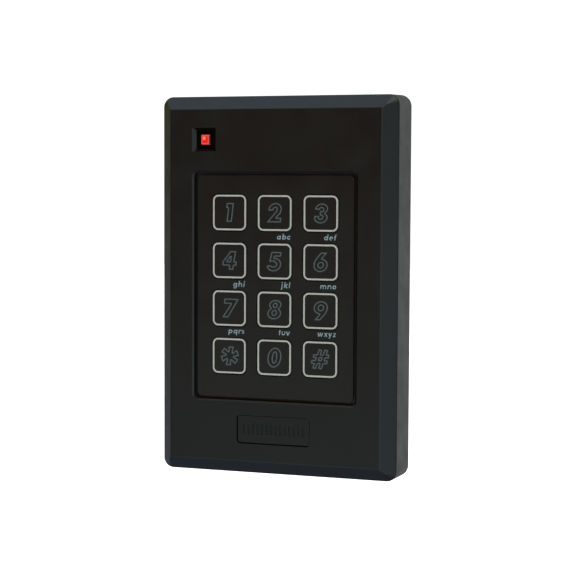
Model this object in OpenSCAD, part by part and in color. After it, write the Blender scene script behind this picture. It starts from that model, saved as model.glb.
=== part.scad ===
// Wall-mounted keypad access reader: twelve sprung keys behind a window in a
// bevelled housing, a status lamp in its own pocket, a plain badge, and the
// electronics inside. Millimetres. The origin is the centre of the back face
// on the wall, +Z is up, +X is to the viewer's right and -Y faces the viewer.

/* [Housing] */
// Width of the housing at the wall
body_w = 75.7; // [74:0.1:80]
// Height of the housing at the wall
body_h = 115.4; // [112:0.1:120]
// Depth of the housing from the wall to its front face
body_d = 16.7; // [16.7:0.1:19]
// Radius of the housing's four corners at the wall
corner_r = 3.5; // [2:0.1:5]
// How far each side leans in between the wall and the sloping border
side_draft = 0.38; // [0.2:0.02:0.4]
// How far the sloping border stands in from the sides at the front
bevel_inset = 4.1; // [3.6:0.1:4.5]
// How far back the sloping border starts, from the front face
bevel_depth = 4.4; // [3.5:0.1:5.5]
// Round along the front edge of the slope
front_edge_r = 0.5; // [0.2:0.05:0.8]
// Small round along the rear edge of the slope
side_edge_r = 0.9; // [0.4:0.05:1.5]
// Thickness of the side walls
side_wall = 2.5; // [2:0.1:2.6]
// Thickness of the front wall
front_wall = 2.5; // [2.4:0.05:2.6]

/* [Window] */
// Width of the window in the front face
window_w = 51.5; // [50:0.1:52]
// Height of the window in the front face
window_h = 69.1; // [68:0.1:71]
// Height of the window's centre above the housing's centre
window_z = -0.1; // [-1:0.05:1]
// Corner radius of the window
window_r = 1.4; // [0.8:0.1:2]
// Small slope around the window's front edge
window_chamfer = 0.5; // [0.3:0.05:0.75]
// How far the panel lies behind the front face
recess = 1.15; // [0.9:0.05:1.3]
// Thickness of the panel
panel_t = 1.6; // [1.4:0.05:1.6]
// Width of the gap around the panel's raised field
margin_w = 0.95; // [0.4:0.05:1]
// Depth of that gap below the raised field
margin_d = 1; // [0.5:0.05:1]
// Width of the ledge that the panel is bonded to
ledge = 2.35; // [1.5:0.05:2.5]

/* [Keys] */
// Distance between neighbouring keys, across and down
key_pitch = 14.5; // [14.3:0.05:14.7]
// Height of the key grid's centre above the housing's centre
grid_z = 0.45; // [-0.5:0.05:1]
// Side of a square key cap
cap_w = 11.2; // [10.8:0.05:11.3]
// Corner radius of a key cap
cap_r = 1.9; // [1.2:0.1:2.4]
// Gap all round between a key cap and the panel
cap_gap = 0.15; // [0.12:0.01:0.2]
// How far a key cap stands proud of the panel
cap_proud = 0.05; // [0:0.01:0.2]
// Travel of a key from rest to fully pressed
key_travel = 0.5; // [0.3:0.05:0.5]
// Side of the flange that keeps a key behind the panel
flange_w = 12.6; // [12.3:0.1:13]
// Thickness of that flange
flange_t = 0.8; // [0.6:0.05:0.8]

/* [Lamp] */
// Distance of the lamp from the housing's centre line, to the left
lamp_x = -22.45; // [-23:0.05:-21.5]
// Height of the lamp above the housing's centre
lamp_z = 44.2; // [43.5:0.05:45]
// Width of the lamp pocket at the front face
pocket_w = 7.7; // [7:0.05:8]
// Height of the lamp pocket at the front face
pocket_h = 7.25; // [6.5:0.05:7.5]
// Side of the well at the foot of the pocket
pocket_floor = 5.5; // [4.5:0.05:6.2]
// Depth of the lamp pocket
pocket_d = 1.1; // [0.8:0.05:1.15]
// Width of the red lens
lens_w = 2.6; // [2.4:0.05:3.2]
// Height of the red lens
lens_h = 3.05; // [2.8:0.05:3.6]
// Depth of the well around the lens, below the pocket
well_d = 0.9; // [0.6:0.05:0.9]

/* [Badge] */
// Width of the pocket for the badge
badge_w = 23.3; // [22:0.1:24]
// Height of the pocket for the badge
badge_h = 8.7; // [8:0.1:9]
// Height of the badge's centre above the housing's centre
badge_z = -43.4; // [-44:0.1:-43]
// Gap between the badge and its pocket, before the badge is set to one side
badge_gap = 0.3; // [0.24:0.02:0.4]
// How far the badge sits towards the top right of its pocket
badge_shift = 0.16; // [0:0.02:0.18]
// Number of upright grooves across the badge
badge_grooves = 14; // [7:1:14]

/* [Circuit board] */
// Width of the circuit board
board_w = 62; // [60:1:64]
// Height of the circuit board
board_h = 102; // [100:1:104]
// Thickness of the circuit board
board_t = 1.6; // [1.5:0.1:1.6]
// Distance of the board screws from the centre line
screw_x = 28.5; // [28:0.1:28.6]
// Distance of the board screws above and below the centre
screw_z = 47.5; // [47:0.1:48]

/* [Wall mounting] */
// Thickness of the back plate
plate_t = 2.2; // [2:0.1:2.4]
// Gap all round between the back plate and the housing
plate_gap = 0.2; // [0.15:0.05:0.3]
// Spacing of the two wall screws, as on a single wiring box
wall_screw_spacing = 83.3; // [83.3, 83.5]
// Width of the slots for the wall screws
slot_w = 4; // [3.8:0.1:4.4]
// Length of those slots
slot_l = 7; // [6.5:0.1:8]
// Height of the cable inlet above the centre
inlet_z = 22; // [21:0.5:23]
// Diameter of the cable inlet's bore
inlet_d = 6; // [5:0.1:6.5]

/* [Hidden] */
$fn = 64;

// The faces of the stack, from the front to the wall (the wall is y = 0)
face_y = -body_d;
wall_y = face_y + front_wall;
panel_y = face_y + recess;
panel_back = panel_y + panel_t;
cap_y = panel_y - cap_proud;
flange_y = panel_back + 0.05;
flange_back = flange_y + flange_t;
dome_y = flange_back + 0.45;
nib_y = dome_y - 0.1;
board_y = dome_y + 1.45;
board_back = board_y + board_t;
mat_t = 0.6;
pocket_y = face_y + pocket_d;
margin_y = panel_y + margin_d;
plate_y = -plate_t;
in_w = body_w - 2 * side_wall;
in_h = body_h - 2 * side_wall;
front_in = side_wall + 2.5;
plate_w = in_w - 2 * plate_gap;
plate_h = in_h - 2 * plate_gap;
lock_y = -5.6;
hook_x = 20;
hook_w = 8;

function unit(v) = v / norm(v);
// Points of a small arc that rounds corner p of the line a - p - b
function round_corner(a, p, b, r, n = 5) =
  let (u = unit(a - p), v = unit(b - p), w = acos(u * v),
       c = p + unit(u + v) * r / sin(w / 2),
       s = p + u * r / tan(w / 2), e = p + v * r / tan(w / 2))
  [for (i = [0 : n]) c + r * unit((1 - i / n) * (s - c) + (i / n) * (e - c))];

// Key columns run left to right, rows from the top
function key_x(c) = (c - 1) * key_pitch;
function key_z(r) = grid_z + (1.5 - r) * key_pitch;

// Rounded rectangle in the plane of the wall
module outline(w, h, r) {
  square([w - 2 * r, h], center = true);
  square([w, h - 2 * r], center = true);
  for (sx = [-1, 1], sz = [-1, 1])
    translate([sx * (w / 2 - r), sz * (h / 2 - r)]) circle(r = r);
}

// Rounded plate from y0 (nearer the viewer) to y1
module slab(w, h, r, y0, y1) {
  translate([0, y1, 0]) rotate([90, 0, 0]) linear_extrude(y1 - y0) outline(w, h, r);
}

// Plain block given by its ranges
module block(x, y, z) {
  translate([x[0], y[0], z[0]]) cube([x[1] - x[0], y[1] - y[0], z[1] - z[0]]);
}

// Round rod along y
module rod(r, y0, y1) {
  translate([0, y1, 0]) rotate([90, 0, 0]) cylinder(r = r, h = y1 - y0);
}

// Cone along y, r0 at y0 and r1 at y1
module taper(r0, r1, y0, y1) {
  translate([0, y1, 0]) rotate([90, 0, 0]) cylinder(r1 = r1, r2 = r0, h = y1 - y0);
}

// Prism with the same section to both sides: pts are [half width, y]
module prism_x(pts, len) {
  linear_extrude(len, center = true)
    polygon(concat(pts, [for (i = [len(pts) - 1 : -1 : 0]) [-pts[i][0], pts[i][1]]]));
}

module prism_z(pts, len) {
  rotate([0, 90, 0]) linear_extrude(len, center = true)
    polygon(concat([for (p = pts) [p[0], p[1]]],
                   [for (i = [len(pts) - 1 : -1 : 0]) [-pts[i][0], pts[i][1]]]));
}

// Four-sided funnel or frustum: half sizes at the front and at the back
module frustum(wf, hf, y0, wb, hb, y1) {
  intersection() {
    prism_x([[wb / 2, y1], [wf / 2, y0]], max(hf, hb) + 2);
    prism_z([[hb / 2, y1], [hf / 2, y0]], max(wf, wb) + 2);
  }
}

// Section of the housing's outside: side, slope and face, with rounded edges
function shell_section(half) =
  let (wall = [half, 0], knee = [half - side_draft, face_y + bevel_depth],
       brow = [half - side_draft - bevel_inset, face_y])
  concat([wall], round_corner(wall, knee, brow, side_edge_r),
         round_corner(knee, brow, brow - [half, 0], front_edge_r));

// The same section around a corner, cut off where it meets the corner's axis
function corner_section(r) =
  let (p = shell_section(r), n = len([for (q = p) if (q[0] > 0.001) q]),
       a = p[n - 1], b = n < len(p) ? p[n] : [0, face_y],
       t = n < len(p) ? a[0] / (a[0] - b[0]) : 1)
  concat([for (i = [0 : n - 1]) p[i]], [[0, a[1] + t * (b[1] - a[1])], [0, 0]]);

// The housing's outside: leaning sides and slopes that run around the corners
// and meet in a mitre where the slope is wider than the corner's radius
module shell() {
  intersection() {
    union() {
      prism_x(shell_section(body_w / 2), body_h - 2 * corner_r);
      prism_z(shell_section(body_h / 2), body_w - 2 * corner_r);
      for (sx = [-1, 1], sz = [-1, 1])
        translate([sx * (body_w / 2 - corner_r), 0, sz * (body_h / 2 - corner_r)]) rotate([90, 0, 0])
          rotate_extrude() polygon([for (p = corner_section(corner_r)) [p[0], -p[1]]]);
    }
    prism_x(shell_section(body_w / 2 + 0.001), body_h + 2);
    prism_z(shell_section(body_h / 2 + 0.001), body_w + 2);
  }
}

// Section of the housing's inside, which follows the slope
function cavity_section(half) =
  [[half, 1], [half, wall_y + 2.9], [half - 2.5, wall_y]];

module front_cover() color([0.13, 0.13, 0.14]) {
  difference() {
    union() {
      difference() {
        shell();
        intersection() {
          slab(in_w, in_h, 1.6, wall_y, 1);
          prism_x(cavity_section(in_w / 2), body_h);
          prism_z(cavity_section(in_h / 2), body_w);
        }
      }
      // Posts that carry the circuit board
      for (sx = [-1, 1], sz = [-1, 1])
        translate([sx * screw_x, 0, sz * screw_z]) rod(3, wall_y - 0.2, board_y);
    }
    // Pilot holes in the posts
    for (sx = [-1, 1], sz = [-1, 1])
      translate([sx * screw_x, 0, sz * screw_z]) rod(1.0, wall_y, board_y + 1);
    // Window, its sloped edge, and the seat for the panel behind it
    translate([0, 0, window_z]) {
      slab(window_w, window_h, window_r, face_y - 1, wall_y + 1);
      intersection() {
        slab(window_w + 2 * window_chamfer, window_h + 2 * window_chamfer,
             window_r + window_chamfer, face_y - 1, panel_y);
        frustum(window_w + 2 * window_chamfer + 2, window_h + 2 * window_chamfer + 2, face_y - 1,
                window_w, window_h, face_y + window_chamfer);
      }
      slab(window_w + 2 * ledge, window_h + 2 * ledge, 2.4, margin_y, wall_y + 1);
    }
    // Lamp pocket and the hole for the lens
    translate([lamp_x, 0, lamp_z]) {
      intersection() {
        slab(pocket_w, pocket_h, 0.35, face_y - 1, pocket_y);
        frustum(pocket_w + (pocket_w - pocket_floor) / pocket_d,
                pocket_h + (pocket_h - pocket_floor) / pocket_d, face_y - 1,
                pocket_floor, pocket_floor, pocket_y);
      }
      slab(pocket_floor, pocket_floor, 0.3, pocket_y - 0.2, pocket_y + well_d);
      slab(lens_w + 0.1, lens_h + 0.1, 0.5, pocket_y - 1, wall_y + 1);
    }
    // Pocket for the badge
    translate([0, 0, badge_z]) slab(badge_w, badge_h, 1.1, face_y - 1, face_y + 1);
    // Groove for the gasket in the rim
    difference() {
      slab(body_w - 1.4, body_h - 1.4, corner_r - 0.7, -0.9, 1);
      slab(body_w - 3.6, body_h - 3.6, corner_r - 1.8, -2, 2);
    }
    // Pockets for the back plate's hooks in the top wall
    for (sx = [-1, 1])
      block([sx * hook_x - hook_w / 2 - 0.4, sx * hook_x + hook_w / 2 + 0.4],
            [-6.9, -4.1], [in_h / 2 - 1, in_h / 2 + 1.3]);
    // Hole and counterbore for the security screw in the bottom wall
    translate([0, lock_y, -body_h / 2]) {
      translate([0, 0, -1]) cylinder(r = 3.1, h = 2.3);
      cylinder(r = 1.7, h = side_wall + 1);
    }
  }
}

module rim_gasket() color([0.08, 0.08, 0.08]) {
  difference() {
    slab(body_w - 1.5, body_h - 1.5, corner_r - 0.75, -0.85, 0);
    slab(body_w - 3.5, body_h - 3.5, corner_r - 1.75, -2, 2);
  }
}

module back_plate() color([0.16, 0.16, 0.17]) {
  difference() {
    union() {
      slab(plate_w, plate_h, 1.4, plate_y, 0);
      // Stiffening rib around the edge
      difference() {
        slab(plate_w, plate_h, 1.4, plate_y - 1.5, plate_y + 0.5);
        slab(plate_w - 3, plate_h - 3, 0.8, plate_y - 3, plate_y + 2);
      }
      // Two hooks that hang the housing by its top wall
      for (sx = [-1, 1]) {
        block([sx * hook_x - hook_w / 2, sx * hook_x + hook_w / 2],
              [-6.5, plate_y + 0.5], [in_h / 2 - 3.1, in_h / 2 - 0.9]);
        block([sx * hook_x - hook_w / 2, sx * hook_x + hook_w / 2],
              [-6.5, -4.5], [in_h / 2 - 1.5, in_h / 2 + 0.9]);
      }
      // Lug for the security screw
      block([-5, 5], [lock_y - 3, plate_y + 0.5], [-in_h / 2 + 0.75, -in_h / 2 + 7.2]);
      // Collar around the cable inlet
      translate([0, 0, inlet_z]) rod(8.2, plate_y - 0.6, plate_y + 0.5);
      // Two ribs across the plate
      for (z = [-31, -9]) block([-30, 30], [plate_y - 1.2, plate_y + 0.5], [z - 0.6, z + 0.6]);
    }
    // Slots for the wall screws
    for (s = [-1, 1]) translate([0, 0, s * wall_screw_spacing / 2]) {
      for (t = [-1, 1]) translate([0, 0, t * (slot_l - slot_w) / 2]) rod(slot_w / 2, -10, 1);
      block([-slot_w / 2, slot_w / 2], [-10, 1], [-(slot_l - slot_w) / 2, (slot_l - slot_w) / 2]);
    }
    // Cable inlet with a counterbore at the back
    translate([0, 0, inlet_z]) {
      rod(5, -10, 1);
      rod(6.7, -1, 1);
    }
    // Shallow panel on the back, below the centre
    translate([0, 0, -20]) slab(44, 17, 1.5, -0.4, 1);
    // Thread for the security screw
    translate([0, lock_y, -body_h / 2]) cylinder(r = 1.45, h = 14);
  }
}

module cable_grommet() color([0.07, 0.07, 0.07]) {
  translate([0, 0, inlet_z]) difference() {
    union() {
      rod(6.5, plate_y - 1.8, plate_y - 0.6);
      rod(4.95, plate_y - 0.8, -0.5);
      rod(6.5, -1, -0.1);
    }
    rod(inlet_d / 2, -10, 1);
  }
}

module security_screw() color([0.62, 0.63, 0.65]) {
  translate([0, lock_y, -body_h / 2]) difference() {
    union() {
      translate([0, 0, 0.1]) cylinder(r = 2.75, h = 1.15);
      translate([0, 0, 1.2]) cylinder(r = 1.4, h = 7.6);
    }
    difference() {
      translate([0, 0, -1]) cylinder(r = 1.25, h = 1.9, $fn = 6);
      cylinder(r = 0.4, h = 2);
    }
  }
}

module keypad_panel() color([0.14, 0.13, 0.12]) {
  difference() {
    translate([0, 0, window_z]) {
      slab(window_w - 2 * margin_w, window_h - 2 * margin_w, window_r, panel_y, margin_y + 0.2);
      slab(window_w + 2 * ledge - 0.4, window_h + 2 * ledge - 0.4, 2.2, margin_y, panel_back);
    }
    for (c = [0 : 2], r = [0 : 3])
      translate([key_x(c), 0, key_z(r)])
        slab(cap_w + 2 * cap_gap, cap_w + 2 * cap_gap, cap_r + cap_gap, panel_y - 1, panel_back + 1);
  }
}

module badge_plate() color([0.13, 0.13, 0.14]) {
  translate([badge_shift, 0, badge_z + badge_shift]) difference() {
    slab(badge_w - 2 * badge_gap, badge_h - 2 * badge_gap, 0.8, face_y, face_y + 1);
    for (i = [0 : badge_grooves - 1])
      translate([(i - (badge_grooves - 1) / 2) * 1.45, 0, 0.1])
        slab(0.6, 3.2, 0.25, face_y - 1, face_y + 0.35);
  }
}

module light_pipe() color([0.85, 0.08, 0.06]) {
  translate([lamp_x, 0, lamp_z]) {
    intersection() {
      slab(lens_w, lens_h, 0.45, pocket_y - 0.05, wall_y + 0.2);
      frustum(lens_w - 0.3, lens_h - 0.3, pocket_y - 0.05, lens_w + 3.7, lens_h + 3.7, pocket_y + 1.95);
    }
    slab(5, 5, 0.6, wall_y, wall_y + 0.8);
  }
}

// One key: cap, flange behind the panel and the nib that presses the dome
module key(c, r) color([0.14, 0.13, 0.12]) {
  translate([key_x(c), 0, key_z(r)]) {
    intersection() {
      slab(cap_w, cap_w, cap_r, cap_y, flange_y + 0.1);
      frustum(cap_w - 0.3, cap_w - 0.3, cap_y, cap_w + 6, cap_w + 6, cap_y + 3.15);
    }
    slab(flange_w, flange_w, 1.6, flange_y, flange_back);
    rod(1.75, flange_back - 0.1, nib_y);
  }
}
module key_1() key(0, 0);
module key_2() key(1, 0);
module key_3() key(2, 0);
module key_4() key(0, 1);
module key_5() key(1, 1);
module key_6() key(2, 1);
module key_7() key(0, 2);
module key_8() key(1, 2);
module key_9() key(2, 2);
module key_star() key(0, 3);
module key_0() key(1, 3);
module key_hash() key(2, 3);

module dome_mat() color([0.55, 0.56, 0.58]) {
  difference() {
    union() {
      translate([0, 0, grid_z]) slab(46, 61, 2, board_y - mat_t, board_y);
      for (c = [0 : 2], r = [0 : 3])
        translate([key_x(c), 0, key_z(r)]) taper(2.7, 4.3, dome_y, board_y - mat_t + 0.1);
    }
    for (c = [0 : 2], r = [0 : 3])
      translate([key_x(c), 0, key_z(r)]) taper(2.0, 3.5, dome_y + 0.45, board_y + 0.2);
  }
}

module contact_pills() color([0.12, 0.12, 0.12]) {
  for (c = [0 : 2], r = [0 : 3])
    translate([key_x(c), 0, key_z(r)]) rod(1.6, dome_y + 0.45, dome_y + 0.9);
}

module contact_pads() color([0.85, 0.68, 0.3]) {
  for (c = [0 : 2], r = [0 : 3])
    translate([key_x(c), 0, key_z(r)]) difference() {
      rod(2.3, board_y - 0.05, board_y);
      block([-0.2, 0.2], [board_y - 1, board_y + 1], [-3, 3]);
    }
}

module circuit_board() color([0.07, 0.3, 0.16]) {
  difference() {
    slab(board_w, board_h, 2, board_y, board_back);
    for (sx = [-1, 1], sz = [-1, 1])
      translate([sx * screw_x, 0, sz * screw_z]) rod(1.3, board_y - 1, board_back + 1);
  }
}

module board_screws() color([0.6, 0.6, 0.62]) {
  for (sx = [-1, 1], sz = [-1, 1])
    translate([sx * screw_x, 0, sz * screw_z]) difference() {
      union() {
        rod(2.1, board_back, board_back + 1.4);
        rod(0.95, board_y - 2.4, board_back + 0.1);
      }
      block([-1.3, 1.3], [board_back + 0.7, board_back + 3], [-0.25, 0.25]);
      block([-0.25, 0.25], [board_back + 0.7, board_back + 3], [-1.3, 1.3]);
    }
}

module status_led() color([0.9, 0.88, 0.82]) {
  translate([lamp_x, 0, lamp_z]) {
    slab(3.2, 2.8, 0.2, board_y - 1.9, board_y - 0.3);
    for (s = [-1, 1]) block([s * 1.2 - 0.5, s * 1.2 + 0.5], [board_y - 0.4, board_y], [-1.1, 1.1]);
  }
}

// Flat chip with legs on two or four sides; n legs a side at the given spacing
module chip(w, h, t, n, spacing, four) {
  slab(w, h, 0.2, board_back + 0.15, board_back + 0.15 + t);
  for (i = [0 : n - 1]) let (p = (i - (n - 1) / 2) * spacing) {
    for (s = [-1, 1]) {
      block([p - 0.18, p + 0.18], [board_back, board_back + 0.3],
            [min(s * (h / 2 - 0.2), s * (h / 2 + 0.9)), max(s * (h / 2 - 0.2), s * (h / 2 + 0.9))]);
      if (four)
        block([min(s * (w / 2 - 0.2), s * (w / 2 + 0.9)), max(s * (w / 2 - 0.2), s * (w / 2 + 0.9))],
              [board_back, board_back + 0.3], [p - 0.18, p + 0.18]);
    }
  }
}

module microcontroller() color([0.1, 0.1, 0.11]) {
  translate([-11, 0, -9]) chip(10, 10, 1.4, 11, 0.8, true);
}

module reader_chip() color([0.1, 0.1, 0.11]) {
  translate([10, 0, -8]) chip(10.3, 4, 1.6, 8, 1.27, false);
}

module crystal() color([0.75, 0.76, 0.78]) {
  translate([-11, 0, -21.5]) {
    slab(11.2, 4.8, 2.3, board_back, board_back + 0.4);
    slab(10.4, 4, 1.95, board_back + 0.3, board_back + 3.5);
  }
}

module voltage_regulator() color([0.1, 0.1, 0.11]) {
  translate([12, 0, -21]) {
    block([-3.3, 3.3], [board_back + 0.2, board_back + 2.3], [-3, 3]);
    block([-2.7, 2.7], [board_back, board_back + 0.5], [2.8, 4.4]);
    for (s = [-1, 1]) block([s * 2.3 - 0.4, s * 2.3 + 0.4], [board_back, board_back + 0.5], [-5.2, -2.8]);
  }
}

module capacitors() color([0.7, 0.7, 0.72]) {
  for (z = [19.6, 28.4]) translate([-14.5, 0, z]) {
    slab(6.6, 6.6, 0.7, board_back, board_back + 0.9);
    rod(3.15, board_back + 0.8, board_back + 5.8);
  }
}

module small_parts() color([0.45, 0.38, 0.3]) {
  for (i = [0 : 5]) translate([-18 + i * 3.4, 0, -30]) block([-1, 1], [board_back, board_back + 0.6], [-0.65, 0.65]);
  for (i = [0 : 4]) translate([6 + i * 3.4, 0, -1.5]) block([-1, 1], [board_back, board_back + 0.6], [-0.65, 0.65]);
  for (i = [0 : 3]) translate([3.5, 0, -13 - i * 2.6]) block([-0.65, 0.65], [board_back, board_back + 0.6], [-1, 1]);
}

module antenna_coil() color([0.72, 0.4, 0.2]) {
  difference() {
    slab(52, 72, 6, board_back, board_back + 2);
    slab(47, 67, 3.5, board_back - 1, board_back + 3);
  }
}

module buzzer() color([0.09, 0.09, 0.09]) {
  translate([14, 0, 25]) difference() {
    union() {
      rod(6, board_back, board_back + 5);
      rod(2.2, board_back + 4.8, board_back + 5.3);
    }
    rod(0.9, board_back + 2.5, board_back + 7);
  }
}

module tamper_sensor() color([0.12, 0.12, 0.13]) {
  translate([14, 0, -30]) {
    block([-2, 2], [board_back, board_back + 1.5], [-1.5, 1.5]);
    for (s = [-1, 1]) translate([s * 0.95, 0, 0]) rod(0.6, board_back + 1.3, board_back + 1.8);
  }
}

// Eight wire clamps in a row: a wire goes in from above, under its screw
module terminal_block() color([0.1, 0.32, 0.17]) {
  translate([0, 0, 6.5]) difference() {
    block([-10.3, 10.3], [board_back, board_back + 6.4], [-3.6, 3.6]);
    for (i = [0 : 7]) translate([(i - 3.5) * 2.54, 0, 0]) {
      block([-0.85, 0.85], [board_back + 1.2, board_back + 3.2], [0.6, 5]);
      rod(1.05, board_back + 4.2, board_back + 8);
    }
  }
}

module terminal_screws() color([0.66, 0.66, 0.68]) {
  translate([0, 0, 6.5]) for (i = [0 : 7]) translate([(i - 3.5) * 2.54, 0, 0]) difference() {
    rod(1.0, board_back + 4.2, board_back + 6.0);
    block([-0.9, 0.9], [board_back + 5.5, board_back + 8], [-0.2, 0.2]);
  }
}

front_cover();
rim_gasket();
back_plate();
cable_grommet();
security_screw();
keypad_panel();
badge_plate();
light_pipe();
key_1();
key_2();
key_3();
key_4();
key_5();
key_6();
key_7();
key_8();
key_9();
key_star();
key_0();
key_hash();
dome_mat();
contact_pills();
contact_pads();
circuit_board();
board_screws();
status_led();
microcontroller();
reader_chip();
crystal();
voltage_regulator();
capacitors();
small_parts();
antenna_coil();
buzzer();
tamper_sensor();
terminal_block();
terminal_screws();
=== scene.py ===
"""Keypad access reader: materials, printed legends, light and camera around
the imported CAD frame. Metres, in the CAD's own frame: x right, y into the wall,
z up. The glyph fields below are worked out in millimetres."""
import math

import bpy
import numpy as np
from mathutils import Matrix, Vector


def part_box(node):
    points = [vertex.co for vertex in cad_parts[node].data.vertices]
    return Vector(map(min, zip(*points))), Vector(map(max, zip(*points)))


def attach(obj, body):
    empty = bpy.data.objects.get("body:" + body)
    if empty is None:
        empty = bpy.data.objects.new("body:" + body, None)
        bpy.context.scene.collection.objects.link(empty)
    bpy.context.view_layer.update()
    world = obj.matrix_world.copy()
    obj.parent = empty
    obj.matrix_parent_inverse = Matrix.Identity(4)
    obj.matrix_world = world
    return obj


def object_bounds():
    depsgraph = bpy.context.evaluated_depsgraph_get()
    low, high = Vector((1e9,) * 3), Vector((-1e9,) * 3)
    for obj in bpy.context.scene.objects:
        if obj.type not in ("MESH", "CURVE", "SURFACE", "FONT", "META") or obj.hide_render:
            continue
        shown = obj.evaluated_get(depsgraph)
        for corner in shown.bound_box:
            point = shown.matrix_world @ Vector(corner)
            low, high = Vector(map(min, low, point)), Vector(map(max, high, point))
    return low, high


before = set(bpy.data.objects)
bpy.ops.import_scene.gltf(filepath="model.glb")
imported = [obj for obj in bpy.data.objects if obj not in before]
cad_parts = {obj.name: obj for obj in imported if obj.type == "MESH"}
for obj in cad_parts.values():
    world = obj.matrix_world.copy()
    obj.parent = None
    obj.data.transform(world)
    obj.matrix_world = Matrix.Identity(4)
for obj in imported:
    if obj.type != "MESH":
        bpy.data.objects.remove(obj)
cad_lo, cad_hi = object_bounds()
MM = 0.001
scene = bpy.context.scene

# ------------------------------------------------------------------ camera
CAMERA_LENS = 100.092
CAMERA_SENSOR = 36.0
CAMERA_PLACE = (0.16085, -0.46760, 0.03117)
CAMERA_TURN = (86.2515, -0.2517, 19.1171)     # degrees

cam_data = bpy.data.cameras.new("camera")
cam_data.sensor_width = CAMERA_SENSOR
cam_data.lens = CAMERA_LENS
cam = bpy.data.objects.new("camera", cam_data)
cam.location = CAMERA_PLACE
cam.rotation_euler = tuple(math.radians(turn) for turn in CAMERA_TURN)
scene.collection.objects.link(cam)
scene.camera = cam

scene.view_settings.view_transform = "Standard"
scene.view_settings.look = "None"
scene.view_settings.exposure = 0.0
scene.view_settings.gamma = 1.0


# ------------------------------------------------------------------ shader helpers
LEAN_FLAT, LEAN_EDGE = 0.995, 0.86    # cosine of a normal's lean where the edge mask starts and ends
BLUR = 0.02 * MM                      # width over which the painted shade in the lamp's pocket begins
BORDER = 6 * MM                       # width of the housing's border, measured from its outline
BORDER_FADE = 0.2 * MM                # half the width over which the border's edge radius sets in
SHINE, SHADE_SHINE = 0.5, 0.12         # specular level of plastic and of the painted shade in the lamp's pocket
# roughness of the painted shade in the lamp's pocket
SHADE_ROUGH = 0.9


def feed(tree, socket, value):
    """Joins another socket to this one, or sets its value."""
    if isinstance(value, bpy.types.NodeSocket):
        tree.links.new(value, socket)
    else:
        socket.default_value = value


def add_node(tree, kind, inputs=None, **settings):
    n = tree.nodes.new(kind)
    for k, v in settings.items():
        setattr(n, k, v)
    for k, v in (inputs or {}).items():
        feed(tree, n.inputs[k], v)
    return n


class Shader:
    """A material's node tree, with short calls to add and join nodes."""

    def __init__(self, name):
        self.mat = bpy.data.materials.new(name)
        self.mat.use_nodes = True
        self.tree = self.mat.node_tree
        self.bsdf = next(n for n in self.tree.nodes if n.type == "BSDF_PRINCIPLED")

    def add(self, kind, inputs=None, **settings):
        return add_node(self.tree, kind, inputs, **settings)

    def set(self, **sockets):
        for k, v in sockets.items():
            feed(self.tree, self.bsdf.inputs[k.replace("_", " ")], v)

    def where(self):
        return self.add("ShaderNodeTexCoord").outputs["Object"]

    def noise(self, scale, detail=2.0, rough=0.5, at=None, distortion=0.0):
        n = self.add("ShaderNodeTexNoise", {
            "Vector": at or self.where(), "Scale": scale, "Detail": detail,
            "Roughness": rough, "Distortion": distortion})
        return n.outputs["Fac"]

    def ramp(self, value, lo, hi, out_lo=0.0, out_hi=1.0, smooth=False):
        n = self.add("ShaderNodeMapRange", {
            "Value": value, "From Min": lo, "From Max": hi, "To Min": out_lo, "To Max": out_hi},
            interpolation_type="SMOOTHSTEP" if smooth else "LINEAR")
        return n.outputs["Result"]

    def math(self, op, a, b=0.0, clamp=False):
        n = self.add("ShaderNodeMath", {0: a, 1: b}, operation=op, use_clamp=clamp)
        return n.outputs[0]

    def vector(self, op, a, b=(0.0, 0.0, 0.0), out=0):
        return self.add("ShaderNodeVectorMath", {0: a, 1: b}, operation=op).outputs[out]

    def split(self, vector):
        return self.add("ShaderNodeSeparateXYZ", {0: vector}).outputs

    def mix(self, fac, a, b):
        return self.add("ShaderNodeMix", {0: fac, 6: a, 7: b}, data_type="RGBA").outputs[2]

    def bump(self, height, depth, normal=None):
        inputs = {"Height": height, "Distance": depth, "Strength": 1.0}
        if normal is not None:
            inputs["Normal"] = normal
        return self.add("ShaderNodeBump", inputs).outputs["Normal"]

    def edges(self, radius):
        """A normal rounded over the edges, and a mask from how much it leans:
        1 on an edge, 0 on a flat face."""
        soft = self.add("ShaderNodeBevel", {"Radius": radius}, samples=6).outputs["Normal"]
        hard = self.add("ShaderNodeNewGeometry").outputs["Normal"]
        lean = self.vector("DOT_PRODUCT", soft, hard, "Value")
        return soft, self.ramp(lean, LEAN_FLAT, LEAN_EDGE)


def rgba(c, k=1.0):
    return (c[0] * k, c[1] * k, c[2] * k, 1.0)


# ------------------------------------------------------------------ materials
# Noise scales are in cycles per metre, bump depths in metres.
def border_radius(s, at, radius, more):
    """An edge radius that is larger near the housing's outline."""
    parts = s.split(at)
    out_x, out_z = (s.math("SUBTRACT", s.math("ABSOLUTE", parts[axis]), float(half) - BORDER)
                    for axis, half in (("X", cad_hi[0]), ("Z", cad_hi[2])))
    return s.ramp(s.math("MAXIMUM", out_x, out_z), -BORDER_FADE, BORDER_FADE, radius, radius + more)


def pocket_shade_mask(s, at, centre, half_x, half_z, front):
    """1 inside an upright rectangle about centre and behind y = front, 0 elsewhere: the area of painted shade
    in the lamp's pocket.
    """
    off = s.split(s.vector("ABSOLUTE", s.vector("SUBTRACT", at, tuple(centre))))
    over = s.math("MAXIMUM", s.math("SUBTRACT", off["X"], half_x),
                  s.math("SUBTRACT", off["Z"], half_z))
    inside = s.ramp(over, 0.0, BLUR, 1.0, 0.0)
    deep = s.ramp(s.split(at)["Y"], front, front + BLUR)
    return s.math("MULTIPLY", inside, deep)


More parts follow.
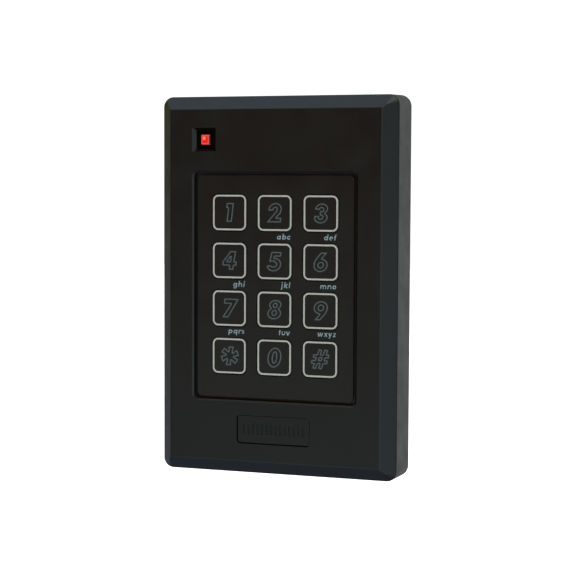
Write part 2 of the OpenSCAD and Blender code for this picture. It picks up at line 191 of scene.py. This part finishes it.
def moulded(name, base, rough, grain=3600.0, depth=6e-6, worn=0.5, edge_radius=0.0003,
            mottle=0.22, border=0.0, shade_well=None):
    """Moulded plastic: fine spark-eroded grain, faint flow mottling, rounded edges that are paler and
    smoother. A border adds to the edge radius near the housing's outline only. When a rectangle is given (the
    arguments of the pocket mask), painted shade goes there: a darker colour, more roughness and less
    specular, standing in for the shade in the lamp's pocket."""
    s = Shader(name)
    at = s.where()
    flow = s.noise(38.0, 3.0, 0.6, at)
    fine = s.noise(grain, 3.0, 0.65, at)
    smears = s.noise(150.0, 4.0, 0.55, at, 0.6)
    if border:
        edge_radius = border_radius(s, at, edge_radius, border)
    soft, edge = s.edges(edge_radius)
    colour = s.mix(s.ramp(flow, 0.3, 0.7), rgba(base, 1 - mottle), rgba(base, 1 + mottle))
    colour = s.mix(s.ramp(fine, 0.25, 0.75, 0.0, 0.35), colour, rgba(base, 0.6))
    colour = s.mix(s.math("MULTIPLY", edge, worn), colour, rgba(base, 3.2))
    r = s.math("ADD", s.ramp(smears, 0.3, 0.75, rough - 0.05, rough + 0.06),
               s.ramp(fine, 0.2, 0.8, -0.03, 0.03))
    r = s.math("SUBTRACT", r, s.math("MULTIPLY", edge, 0.08), clamp=True)
    shine = SHINE
    if shade_well:
        # Painted shade: the lamp's pocket gets a darker colour, more roughness and less specular, standing in
        # for the shade there.
        painted_shade = pocket_shade_mask(s, at, *shade_well)
        colour = s.mix(painted_shade, colour, rgba(base, 0.3))
        r = s.math("MAXIMUM", r, s.math("MULTIPLY", painted_shade, SHADE_ROUGH))
        shine = s.ramp(painted_shade, 0.0, 1.0, SHINE, SHADE_SHINE)
    s.set(Base_Color=colour, Roughness=r, Normal=s.bump(fine, depth, soft),
          Specular_IOR_Level=shine)
    return s.mat


def metal(name, base, rough):
    """Plated or drawn metal with fine scratches across z and duller patches."""
    s = Shader(name)
    at = s.where()
    stretched = s.add("ShaderNodeMapping", {"Vector": at, "Scale": (1.0, 1.0, 14.0)})
    lines = s.noise(2200.0, 2.0, 0.6, stretched.outputs["Vector"])
    dull = s.noise(420.0, 3.0, 0.6, at)
    colour = s.mix(s.ramp(dull, 0.35, 0.7), rgba(base, 0.82), rgba(base, 1.08))
    r = s.math("ADD", s.ramp(dull, 0.3, 0.75, rough - 0.06, rough + 0.1),
               s.ramp(lines, 0.3, 0.7, -0.04, 0.04))
    s.set(Base_Color=colour, Roughness=r, Metallic=1.0, Normal=s.bump(lines, 2e-6))
    return s.mat


def rubber(name, base, rough=0.75, pores=2600.0, depth=1.2e-5):
    """Rubber or foam with open pores and a dusty bloom."""
    s = Shader(name)
    at = s.where()
    cells = s.add("ShaderNodeTexVoronoi", {"Vector": at, "Scale": pores}).outputs["Distance"]
    bloom = s.noise(300.0, 4.0, 0.6, at)
    s.set(Base_Color=s.mix(s.ramp(bloom, 0.35, 0.75), rgba(base), rgba(base, 1.9)),
          Roughness=s.ramp(bloom, 0.3, 0.7, rough - 0.07, rough + 0.08),
          Normal=s.bump(cells, depth))
    return s.mat


def ink(name, base, rough):
    """Screen-printed ink: slightly uneven cover and a soft, broken sheen."""
    s = Shader(name)
    at = s.where()
    cover = s.noise(2400.0, 3.0, 0.6, at)
    patch = s.noise(260.0, 2.0, 0.5, at)
    colour = s.mix(s.ramp(cover, 0.3, 0.7), rgba(base, 0.9), rgba(base, 1.06))
    colour = s.mix(s.ramp(patch, 0.35, 0.7, 0.0, 0.25), colour, rgba(base, 0.85))
    s.set(Base_Color=colour, Roughness=s.ramp(cover, 0.25, 0.75, rough - 0.06, rough + 0.06),
          Normal=s.bump(cover, 3e-6))
    return s.mat


def board_mask(name):
    """Green solder mask over a faint pattern of tracks."""
    s = Shader(name)
    at = s.where()
    tracks = s.add("ShaderNodeTexBrick", {
        "Vector": at, "Scale": 260.0, "Mortar Size": 0.05, "Color1": (0.012, 0.11, 0.045, 1),
        "Color2": (0.014, 0.135, 0.055, 1), "Mortar": (0.02, 0.19, 0.08, 1)}).outputs
    speck = s.noise(900.0, 3.0, 0.6, at)
    colour = s.mix(s.ramp(speck, 0.3, 0.7, 0.0, 0.4), tracks["Color"], (0.01, 0.08, 0.03, 1))
    s.set(Base_Color=colour, Roughness=s.ramp(speck, 0.3, 0.7, 0.28, 0.42),
          Normal=s.bump(tracks["Fac"], 2e-5))
    return s.mat


def windings(name, base):
    """Enamelled wire, wound side by side."""
    s = Shader(name)
    wires = s.add("ShaderNodeTexWave", {
        "Vector": s.where(), "Scale": 650.0, "Distortion": 0.4, "Detail": 1.0},
        bands_direction="Y").outputs["Fac"]
    # The colour follows the wire bumps: painted shade in the valleys between the wires, paler on their
    # crests.
    s.set(Base_Color=s.mix(wires, rgba(base, 0.55), rgba(base, 1.1)), Metallic=0.8,
          Roughness=s.ramp(wires, 0.0, 1.0, 0.45, 0.28), Normal=s.bump(wires, 6e-5))
    return s.mat


LENS_HALF = {"X": 1.30 * MM, "Z": 1.525 * MM}     # half width and half height of the lens
HOT_SPOT = (-0.30 * MM, 0.0, 0.42 * MM)           # from the lens's centre
HOT_STRETCH = (1.0, 0.0, 0.85)                    # makes the hot spot a little taller than wide
HOT_REACH, HOT_CORE = 0.70 * MM, 0.18 * MM
RED, HOT, FRAME_RED, EDGE_RED, FLECK_RED, BODY_RED = (
    (0.68, 0.010, 0.009, 1), (1.0, 0.26, 0.20, 1), (0.62, 0.10, 0.075, 1),
    (0.10, 0.002, 0.001, 1), (0.5, 0.01, 0.01, 1), (0.25, 0.01, 0.008, 1))


def lit_lens(name, centre):
    """Clear red lens, lit from behind: a pale frame near its rim, a hot spot up and
    to the left, a dark edge."""
    s = Shader(name)
    local = s.vector("SUBTRACT", s.where(), tuple(centre))
    parts = s.split(local)
    across, up = (s.math("DIVIDE", s.math("ABSOLUTE", parts[axis]), LENS_HALF[axis])
                  for axis in "XZ")
    reach = s.math("MAXIMUM", across, up)
    rim = s.ramp(reach, 0.60, 0.74, smooth=True)
    edge = s.ramp(reach, 0.90, 1.0, smooth=True)
    from_hot = s.vector("MULTIPLY", s.vector("SUBTRACT", local, HOT_SPOT), HOT_STRETCH)
    hot = s.ramp(s.vector("LENGTH", from_hot, out="Value"), HOT_REACH, HOT_CORE, smooth=True)
    grain = s.noise(2600.0)
    glow = s.mix(hot, RED, HOT)
    glow = s.mix(rim, glow, FRAME_RED)
    glow = s.mix(edge, glow, EDGE_RED)
    glow = s.mix(s.ramp(grain, 0.3, 0.7, 0.0, 0.15), glow, FLECK_RED)
    s.set(Base_Color=BODY_RED, Roughness=s.ramp(grain, 0.3, 0.7, 0.14, 0.24),
          Emission_Color=glow, Emission_Strength=1.0)
    return s.mat


# The lamp's pocket gets painted shade (dark, matt and weakly specular), all but its left wall.
lens_lo, lens_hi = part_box("light_pipe")
lens_centre = (lens_lo + lens_hi) / 2
SHADE_SHIFT, SHADE_HALF_X, SHADE_HALF_Z = 0.62 * MM, 3.4 * MM, 3.7 * MM
SHADE_START = 0.03 * MM               # below the front face
pocket_shade_area = (lens_centre + Vector((SHADE_SHIFT, 0, 0)), SHADE_HALF_X, SHADE_HALF_Z,
                float(cad_lo[1]) + SHADE_START)

looks = {
    "front_cover": moulded("housing_plastic", (0.0112, 0.0095, 0.0085), 0.42,
                           edge_radius=0.12 * MM, border=0.18 * MM, shade_well=pocket_shade_area),
    "badge_plate": moulded("badge_plastic", (0.0105, 0.0105, 0.0110), 0.40, edge_radius=0.00015),
    "back_plate": moulded("back_plastic", (0.014, 0.014, 0.0145), 0.5, grain=2400.0, depth=1e-5),
    "keypad_panel": moulded("panel_film", (0.0165, 0.0150, 0.0135), 0.36, grain=5200.0,
                            depth=3e-6, mottle=0.1, worn=0.2, edge_radius=0.0001),
    "rim_gasket": rubber("gasket_foam", (0.012, 0.012, 0.012)),
    "cable_grommet": rubber("grommet_rubber", (0.010, 0.010, 0.010), 0.6, 5200.0, 3e-6),
    "security_screw": metal("zinc_plate", (0.62, 0.63, 0.66), 0.28),
    "light_pipe": lit_lens("red_lens", lens_centre),
    "dome_mat": rubber("silicone", (0.34, 0.35, 0.37), 0.45, 4200.0, 2e-6),
    "contact_pills": rubber("carbon_rubber", (0.012, 0.012, 0.012), 0.5, 4200.0, 2e-6),
    "contact_pads": metal("gold_plate", (0.86, 0.60, 0.24), 0.22),
    "circuit_board": board_mask("solder_mask"),
    "board_screws": metal("screw_steel", (0.58, 0.59, 0.61), 0.3),
    "status_led": moulded("led_package", (0.72, 0.70, 0.62), 0.3, mottle=0.04),
    "microcontroller": moulded("chip_epoxy", (0.016, 0.016, 0.017), 0.55),
    "crystal": metal("can_plate", (0.70, 0.71, 0.72), 0.2),
    "capacitors": metal("can_aluminium", (0.66, 0.66, 0.68), 0.32),
    "small_parts": moulded("chip_ceramic", (0.22, 0.15, 0.09), 0.5, mottle=0.15),
    "antenna_coil": windings("coil_wire", (0.75, 0.33, 0.14)),
    "buzzer": moulded("buzzer_plastic", (0.014, 0.014, 0.014), 0.45),
    "terminal_block": moulded("terminal_plastic", (0.02, 0.15, 0.06), 0.42),
    "terminal_screws": metal("terminal_steel", (0.60, 0.61, 0.63), 0.3),
}
same = {"reader_chip": "microcontroller", "voltage_regulator": "microcontroller",
        "tamper_sensor": "microcontroller"}
keys = [["key_1", "key_2", "key_3"], ["key_4", "key_5", "key_6"], ["key_7", "key_8", "key_9"],
        ["key_star", "key_0", "key_hash"]]
same.update({key: "keypad_panel" for row in keys for key in row})
for name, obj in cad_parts.items():
    for material_slot in obj.material_slots:
        material_slot.material = looks[same.get(name, name)]


# ------------------------------------------------------------------ glyph fields
# Each function gives a field that is negative inside its shape, in millimetres.
FAR = 1e9


def bar(p, q, w):
    """Flat-ended stroke from p to q, w wide."""
    length = math.dist(p, q)
    ux, uy = (q[0] - p[0]) / length, (q[1] - p[1]) / length

    def f(x, y):
        s = (x - p[0]) * ux + (y - p[1]) * uy
        t = (y - p[1]) * ux - (x - p[0]) * uy
        return np.maximum(np.abs(s - length / 2) - length / 2, np.abs(t) - w / 2)
    return f


def poly(*pts):
    """Convex shape with its corners in anticlockwise order."""
    def f(x, y):
        d = np.full(np.broadcast(x, y).shape, -FAR)
        for (ax, ay), (bx, by) in zip(pts, pts[1:] + pts[:1]):
            n = math.hypot(bx - ax, by - ay)
            d = np.maximum(d, ((x - ax) * (by - ay) - (y - ay) * (bx - ax)) / n)
        return d
    return f


def oval(cx, cy, rx, ry):
    return lambda x, y: (np.hypot((x - cx) / rx, (y - cy) / ry) - 1) * min(rx, ry)


def block(x0, y0, x1, y1):
    return poly((x0, y0), (x1, y0), (x1, y1), (x0, y1))


def join(*fs):
    """All the shapes together."""
    return lambda x, y: np.minimum.reduce([f(x, y) for f in fs])


def less(a, *fs):
    """The first shape without the others."""
    return lambda x, y: np.maximum.reduce([a(x, y)] + [-f(x, y) for f in fs])


def keep(*fs):
    """Only what all the shapes share."""
    return lambda x, y: np.maximum.reduce([f(x, y) for f in fs])


def ring(cx, cy, rx, ry, w, wy=None):
    """Oval ring, w thick at its sides and wy at its top and foot."""
    return less(oval(cx, cy, rx, ry), oval(cx, cy, rx - w, ry - (wy or w)))


def arm(turn, inner, outer, reach, x, y):
    """Flared arm from (x, y), leaning turn degrees to the left of upright."""
    c, s = math.cos(math.radians(turn)), math.sin(math.radians(turn))
    pts = ((-inner / 2, 0), (inner / 2, 0), (outer / 2, reach), (-outer / 2, reach))
    return poly(*[(x + px * c - py * s, y + px * s + py * c) for px, py in pts])


# The signs on the keys, drawn as outlines later; upright, with the centre at (0, 0).
bold = {
    "0": less(oval(0.09, 0.03, 2.2, 3.02), oval(0.11, 0.07, 0.51, 1.54)),
    "1": join(block(-0.61, -2.8, 1.08, 2.9), poly((-1.24, 1.43), (0, 1.43), (0, 2.9), (-1.2, 2.9))),
    "2": join(less(oval(0.02, 1.1, 2.1, 1.9), oval(0.03, 1.08, 0.5, 0.51), block(-5, -5, -0.5, 0.73),
                   poly((-0.5, -5), (5, -5), (0.12, 0.95), (-0.6, 0.88))),
              poly((-2.18, -2.8), (-0.53, -2.8), (2.13, 0.2), (0.73, 1)), block(-1.31, -2.8, 2.29, -1.38)),
    "3": join(less(oval(0.1, 1.36, 2, 1.62), oval(0.1, 1.07, 0.52, 0.6), block(-5, -5, -0.04, 1.1)),
              less(oval(0.18, -1.28, 2.1, 1.65), oval(0.1, -1.1, 0.54, 0.48), block(-5, -0.71, -0.12, 5)),
              block(-0.33, -0.37, 0.52, 0.76)),
    "4": join(less(poly((-2.04, -1.56), (1.58, -1.56), (1.87, 2.88), (0.03, 2.88), (-2.18, -0.36)),
                   poly((-0.62, -0.27), (0.25, -0.27), (0.31, 1.12))),
              block(0.14, -2.8, 1.6, -0.3), block(0.23, -1.56, 2.44, -0.27)),
    "5": join(block(-1.31, 1.47, 1.87, 2.87), poly((-1.61, -0.25), (-0.45, 0), (0.29, 2.7), (-1.36, 2.7)),
              less(oval(-0.07, -0.95, 2.3, 2.05), oval(-0.25, -0.91, 0.9, 0.61),
                   poly((-5, -1.69), (-0.34, -1.01), (-0.09, 0), (-5, 1.19)))),
    "6": less(join(oval(0.15, -0.88, 2.19, 2.02),
                   poly((-2.23, -0.57), (0.18, 0.86), (1.81, 2.95), (-0.18, 2.95), (-1.56, 1.11))),
              oval(0.14, -0.82, 0.68, 0.67)),
    "7": join(block(-1.9, 1.33, 2.2, 2.92), poly((-1.94, -2.82), (0, -2.82), (2.8, 2.92), (0.75, 2.08))),
    "8": less(join(oval(0.14, 1.45, 1.95, 1.51), oval(0.11, -1.15, 2.18, 1.78)), oval(0.15, 1.3, 0.43, 0.49),
              oval(0.1, -0.98, 0.55, 0.6)),
    "9": less(join(oval(0.04, 1.01, 2.2, 1.97),
                   poly((-1.54, -2.78), (0.28, -2.78), (1.73, -0.94), (2.45, 0.88), (-0.02, -0.8))),
              oval(0.09, 0.95, 0.7, 0.7)),
    "*": join(arm(0, 1.02, 1.73, 3.13, 0.33, -0.28), arm(58, 1.02, 1.71, 2.92, 0.19, 0.23),
              arm(115, 0.87, 2, 2.99, 0.36, 0.21), arm(180, 0.96, 1.78, 3.12, 0.08, 0.25),
              arm(-66, 0.97, 2, 2.62, 0.4, -0.05), arm(-123, 0.87, 1.77, 3.17, 0.01, -0.05)),
    "#": join(bar((-1.51, -2.79), (-0.15, 3.02), 1.18), bar((0.29, -2.81), (1.69, 3), 1.2),
              block(-2.31, 0.43, 2.79, 1.54), block(-2.67, -1.35, 2.44, -0.17)),
}

# Small letters, each with its advance width: x height, stroke, top of the tall stems,
# foot of the low stems, and radius of a bowl.
H, W, T, D = 1.24, 0.37, 1.86, -0.55
R = H / 2


def stem(x, y0=0.0, y1=H):
    return block(x - W / 2, y0, x + W / 2, y1)


def bowl(x):
    return ring(x, R, R, R, W)


def arch(x):
    return join(keep(ring(x, R, R, R, W), block(x - 2, R, x + 2, 3)), stem(x + R - W / 2, 0, R))


small = {
    "a": (join(bowl(R), stem(1.10)), 1.39),
    "b": (join(stem(0.19, 0, T), bowl(0.67)), 1.19),
    "c": (less(bowl(R), poly((0.7, R), (2, R - 0.75), (2, R + 0.75))), 1.05),
    "d": (join(bowl(R), stem(1.10, 0, T)), 1.29),
    "e": (join(less(bowl(R), block(0.6, 0.26, 2, 0.50)), block(0.15, 0.50, 1.16, 0.76)), 1.09),
    "f": (join(stem(0.42, 0, 1.6), block(0.72, 1.56, 0.98, T), block(0.02, 0.9, 0.84, 1.2),
               less(ring(0.76, 1.5, 0.53, 0.36, 0.36, 0.3), block(0.8, 0, 2, 3), block(0, 0, 2, 1.5))), 0.92),
    "g": (join(bowl(R), stem(1.10, -0.25),
               less(ring(0.67, -0.08, 0.62, 0.47, W, 0.3), block(-1, -0.12, 2, 2))), 1.37),
    "h": (join(stem(0.19, 0, T), arch(0.64)), 1.32),
    "i": (join(stem(0.2), oval(0.2, 1.62, 0.23, 0.23)), 0.40),
    "j": (join(stem(0.32, D), block(-0.02, D, 0.4, D + 0.3), oval(0.32, 1.62, 0.23, 0.23)), 0.67),
    "k": (join(stem(0.19, 0, T), bar((0.3, 0.52), (1.02, H + 0.06), 0.36),
               bar((0.42, 0.72), (1.06, -0.08), 0.4)), 1.18),
    "l": (stem(0.2, 0, T), 0.40),
    "m": (join(stem(0.19), arch(0.54), arch(1.30)), 1.93),
    "n": (join(stem(0.19), arch(0.64)), 1.22),
    "o": (bowl(R), 1.24),
    "p": (join(stem(0.19, D), bowl(0.67)), 1.29),
    "q": (join(bowl(R), stem(1.10, D)), 1.34),
    "r": (join(stem(0.19), keep(bowl(0.64), block(0, 0.8, 0.92, 2))), 0.73),
    "s": (keep(join(block(0.2, 0.98, 0.84, H), block(0, 0.55, 0.34, 1.2), block(0.15, 0.48, 0.75, 0.77),
                    block(0.56, 0.1, 0.9, 0.7), block(0.04, 0, 0.7, 0.28)),
               join(oval(0.45, 0.85, 0.46, 0.41), oval(0.45, 0.4, 0.46, 0.41))), 0.92),
    "t": (join(stem(0.40, 0, 1.66), block(0.02, 0.9, 0.78, 1.2)), 0.67),
    "u": (join(keep(bowl(R), block(-1, -1, 3, R)), stem(W / 2, R), stem(H - W / 2, R)), 1.16),
    "v": (join(bar((0.14, H), (0.60, -0.04), 0.38), bar((1.06, H), (0.60, -0.04), 0.38)), 1.2),
    "w": (join(bar((0.14, H), (0.52, -0.04), 0.36), bar((0.9, H), (0.52, -0.04), 0.34),
               bar((0.9, H), (1.28, -0.04), 0.34), bar((1.66, H), (1.28, -0.04), 0.36)), 1.8),
    "x": (keep(join(bar((0.08, -0.1), (1.02, H + 0.1), 0.38), bar((0.08, H + 0.1), (1.02, -0.1), 0.38)),
               block(-1, 0, 2, H)), 0.9),
    "y": (keep(join(bar((0.14, H + 0.1), (0.62, 0.1), 0.37), bar((1.10, H + 0.1), (0.42, D - 0.2), 0.37)),
               block(-1, D, 2, H)), 1.18),
    "z": (join(block(0.06, 0.94, 0.98, H), block(0.03, 0, 1.0, 0.3),
               poly((0.03, 0.12), (0.42, 0.12), (0.98, 1.1), (0.58, 1.1))), 1.03),
}


# ------------------------------------------------------------------ from field to flat mesh
DIGIT_BOX, DIGIT_STEP = (-3.9, -3.9, 3.9, 3.9), 0.06
LETTER_BOX, LETTER_STEP = (-0.4, -0.9, 2.4, 2.2), 0.035
DIGIT_TOL, LETTER_TOL = 0.004, 0.003  # how far a thinned outline may stray
SHORTEST = 5                          # loops with no more points than this are dropped
NIL = 1e-12                           # keeps a division from failing


def zero_loops(field, x0, y0, step):
    """Closed lines where a sampled field is zero, each as an array of points."""
    inside = field < 0
    n = inside[:-1, :-1].astype(int) + inside[:-1, 1:] + inside[1:, :-1] + inside[1:, 1:]
    links = {}

    def tie(a, b):
        links.setdefault(a, []).append(b)
        links.setdefault(b, []).append(a)

    for j, i in np.argwhere((n > 0) & (n < 4)):
        j, i = int(j), int(i)
        a, b, c, d = inside[j, i], inside[j, i + 1], inside[j + 1, i + 1], inside[j + 1, i]
        low, right, high, left = (j, i, 0), (j, i + 1, 1), (j + 1, i, 0), (j, i, 1)
        cross = [e for e, hit in ((low, a != b), (right, b != c), (high, c != d), (left, d != a)) if hit]
        if len(cross) == 2:
            tie(*cross)
        elif (field[j, i] + field[j, i + 1] + field[j + 1, i + 1] + field[j + 1, i] < 0) == bool(a):
            tie(low, right), tie(high, left)
        else:
            tie(low, left), tie(right, high)

    def place(e):
        j, i, up = e
        p, q = field[j, i], field[j + (up == 1), i + (up == 0)]
        t = p / (p - q)
        return (x0 + step * (i + (t if up == 0 else 0)), y0 + step * (j + (t if up == 1 else 0)))

    out, seen = [], set()
    for start in links:
        if start in seen:
            continue
        loop, here, last = [], start, None
        while here not in seen:
            seen.add(here)
            loop.append(place(here))
            a, b = links[here]
            here, last = (b if a == last or a in seen else a), here
        if len(loop) > SHORTEST:
            out.append(np.array(loop))
    return out


def thin(loop, tol):
    """Drops the points of a closed loop that lie within tol of a straight line."""
    far = int(np.argmax(np.hypot(*(loop - loop[0]).T)))

    def walk(pts):
        if len(pts) < 3:
            return pts[:-1]
        a, b = pts[0], pts[-1]
        d = b - a
        off = np.abs(d[0] * (pts[:, 1] - a[1]) - d[1] * (pts[:, 0] - a[0])) / (np.hypot(*d) + NIL)
        k = int(np.argmax(off))
        if off[k] < tol:
            return pts[:1]
        return np.vstack([walk(pts[:k + 1]), walk(pts[k:])])

    return np.vstack([walk(loop[:far + 1]), walk(np.vstack([loop[far:], loop[:1]]))])


def outlines(shape, box, step, tol):
    """A shape's boundary loops, thinned, and its sampled field."""
    x0, y0, x1, y1 = box
    x, y = np.meshgrid(np.arange(x0, x1, step), np.arange(y0, y1, step))
    field = shape(x, y)
    return [thin(l, tol) for l in zero_loops(field, x0, y0, step)], (x, y, field)


def line_loops(shape, box, step, tol, width):
    """Loops of a line of the given width that runs just inside a shape's boundary."""
    loops, (x, y, field) = outlines(shape, box, step, tol)
    near = np.full(x.shape, FAR)
    for loop in loops:
        for a, b in zip(loop, np.roll(loop, -1, axis=0)):
            d = b - a
            t = np.clip(((x - a[0]) * d[0] + (y - a[1]) * d[1]) / (d @ d), 0, 1)
            near = np.minimum(near, np.hypot(x - a[0] - t * d[0], y - a[1] - t * d[1]))
    deep = np.where(field < 0, width - near, width + near)
    return loops + [thin(l, tol) for l in zero_loops(deep, box[0], box[1], step)]


INK = 0.03 * MM      # thickness of a printed layer


def flat_piece(name, loops, at, mat, body):
    """A printed layer: loops in millimetres, filled by even and odd, laid on y = at (metres)."""
    curve = bpy.data.curves.new(name, "CURVE")
    curve.dimensions, curve.fill_mode, curve.extrude = "2D", "BOTH", INK / 2 / MM
    for loop in loops:
        s = curve.splines.new("POLY")
        s.points.add(len(loop) - 1)
        for p, (x, y) in zip(s.points, loop):
            p.co = (x, y, 0, 1)
        s.use_cyclic_u = True
    temp = bpy.data.objects.new(name, curve)
    mesh = bpy.data.meshes.new_from_object(temp)
    bpy.data.objects.remove(temp)
    bpy.data.curves.remove(curve)
    mesh.transform(Matrix.Translation((0, at - INK / 2, 0)) @ Matrix.Rotation(math.pi / 2, 4, "X")
                   @ Matrix.Scale(MM, 4))
    mesh.name = name
    mesh.materials.clear()
    mesh.materials.append(mat)
    obj = bpy.data.objects.new(name, mesh)
    scene.collection.objects.link(obj)
    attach(obj, body)


def rounded_square(half, r, n=10):
    """Outline of a square with round corners, n steps to a corner."""
    c = half - r
    pts = []
    for q, (cx, cy) in enumerate(((c, c), (-c, c), (-c, -c), (c, -c))):
        pts += [(cx + r * math.cos(a), cy + r * math.sin(a))
                for a in (math.pi / 2 * (q + i / n) for i in range(n + 1))]
    return np.array(pts)


# ------------------------------------------------------------------ printed legends
silver_ink = ink("silver_ink", (0.80, 0.80, 0.775), 0.42)
digit_ink = ink("digit_ink", (0.146, 0.180, 0.205), 0.5)
letter_ink = ink("letter_ink", (0.44, 0.59, 0.71), 0.5)

# All in millimetres, but for the slants.
RING_OUTSIDE = (5.335, 1.70)         # half side and corner radius of the ring on a key
RING_INSIDE = (4.835, 1.20)
LINE = 0.35                          # width of the line that draws a digit
SLANT = 0.12                         # how far the digits lean
LETTER_SLANT = 0.13
LETTER_GAP = 0.30
LETTER_TRIM = 0.05                   # taken off every side of a small letter
WORD_RIGHT = 4.87                    # from a key's centre to the right end of its word
BASELINES = (-7.94, -7.94, -7.66, -7.66)    # of the words, below the key centres of each row
words = {"key_2": "abc", "key_3": "def", "key_4": "ghi", "key_5": "jkl", "key_6": "mno",
         "key_7": "pqrs", "key_8": "tuv", "key_9": "wxyz"}
signs = {"key_star": "*", "key_0": "0", "key_hash": "#"}
panel_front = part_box("keypad_panel")[0].y


def placed(loops, dx, dy, slant):
    return [np.column_stack([l[:, 0] + slant * l[:, 1] + dx, l[:, 1] + dy]) for l in loops]


def word_loops(word):
    """Loops of a word's letters, with its left end at zero, and its width."""
    pen, loops = 0.0, []
    for c in word:
        shape, advance = small[c]
        got, _ = outlines(lambda x, y: shape(x, y) + LETTER_TRIM, LETTER_BOX, LETTER_STEP, LETTER_TOL)
        loops += placed(got, pen, 0, 0)
        pen += advance + LETTER_GAP
    return loops, pen - LETTER_GAP


rims = [rounded_square(*RING_OUTSIDE), rounded_square(*RING_INSIDE)]
for row, baseline in zip(keys, BASELINES):
    for key in row:
        lo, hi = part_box(key)
        cx, cz = (lo.x + hi.x) / 2 / MM, (lo.z + hi.z) / 2 / MM
        flat_piece("ring_" + key, placed(rims, cx, cz, 0), lo.y, silver_ink, key)
        sign = bold[signs.get(key, key[-1])]
        lines = line_loops(sign, DIGIT_BOX, DIGIT_STEP, DIGIT_TOL, LINE)
        flat_piece("legend_" + key, placed(lines, cx, cz, SLANT), lo.y, digit_ink, key)
        if key in words:
            loops, width = word_loops(words[key])
            loops = placed(loops, cx + WORD_RIGHT - width, cz + baseline, LETTER_SLANT)
            flat_piece("letters_" + words[key], loops, panel_front, letter_ink, "housing")


# ------------------------------------------------------------------ studio
# Soft glows of the room around the object: name, direction, half width in degrees, colour.
GLOWS = [
    ("front", (-0.33, -0.94, 0.0), 30, (0.124, 0.0, 0.0)),
    ("front_floor", (-0.33, -0.78, -0.54), 30, (0.827, 1.275, 1.301)),
    ("zenith", (-0.30, 0.15, 0.94), 52, (0.529, 0.717, 0.891)),
    ("right_front", (0.76, -0.65, 0.0), 52, (0.009, 0.001, 0.0)),
    ("down", (-0.30, 0.20, -0.93), 52, (0.171, 0.194, 0.247)),
    ("left_back", (-0.85, 0.52, 0.0), 52, (0.247, 0.217, 0.008)),
    ("left_low", (-0.80, 0.42, -0.42), 35, (0.169, 0.255, 0.581)),
    ("back", (0.33, 0.94, 0.0), 52, (0.619, 0.658, 0.656)),
    ("key", (0.40, -0.60, 0.70), 52, (0.856, 0.493, 0.0)),
    ("corner", (0.50, -0.23, 0.83), 28, (1.948, 2.785, 3.248)),
    ("right_low", (0.70, -0.60, -0.40), 52, (0.743, 1.033, 1.217)),
]
GLOW_CORE = 0.2      # share of a glow's half width that is at full strength
SEEN_WHITE = 1.1     # strength of the white that only the camera sees


def studio_world(glows):
    """White to the camera; to all other rays, the sum of the glows."""
    world = bpy.data.worlds.new("studio")
    scene.world = world
    world.use_nodes = True
    tree = world.node_tree
    tree.nodes.clear()

    def add(kind, inputs=None, **settings):
        return add_node(tree, kind, inputs, **settings).outputs

    toward = add("ShaderNodeTexCoord")["Generated"]
    total = (0.0, 0.0, 0.0)
    for _, way, spread, colour in glows:
        way = tuple(Vector(way).normalized())
        outer, core = (math.cos(math.radians(spread * k)) for k in (1.0, GLOW_CORE))
        near = add("ShaderNodeVectorMath", {0: toward, 1: way}, operation="DOT_PRODUCT")["Value"]
        fade = add("ShaderNodeMapRange", {"Value": near, "From Min": outer, "From Max": core},
                   interpolation_type="SMOOTHSTEP")[0]
        part = add("ShaderNodeVectorMath", {0: colour, "Scale": fade}, operation="SCALE")[0]
        total = add("ShaderNodeVectorMath", {0: total, 1: part}, operation="ADD")[0]
    soft = add("ShaderNodeBackground", {"Color": total, "Strength": 1.0})[0]
    white = add("ShaderNodeBackground", {"Color": (1, 1, 1, 1), "Strength": SEEN_WHITE})[0]
    seen = add("ShaderNodeLightPath")["Is Camera Ray"]
    add("ShaderNodeOutputWorld", {"Surface": add("ShaderNodeMixShader", {0: seen, 1: soft, 2: white})[0]})


studio_world(GLOWS)

FLOOR_HALF, FLOOR_Z = 3.0, -0.16
floor_mesh = bpy.data.meshes.new("floor")
corners = [(x * FLOOR_HALF, y * FLOOR_HALF, FLOOR_Z) for x, y in ((-1, -1), (1, -1), (1, 1), (-1, 1))]
floor_mesh.from_pydata(corners, [], [(0, 1, 2, 3)])
floor = bpy.data.objects.new("floor", floor_mesh)
scene.collection.objects.link(floor)
paint = Shader("floor_paint")
paint.set(Base_Color=paint.mix(paint.noise(3.0), rgba((0.86,) * 3), rgba((0.9,) * 3)), Roughness=0.9,
          Emission_Color=(1, 1, 1, 1), Emission_Strength=1.0)
floor_mesh.materials.append(paint.mat)
floor.visible_glossy = floor.visible_diffuse = False
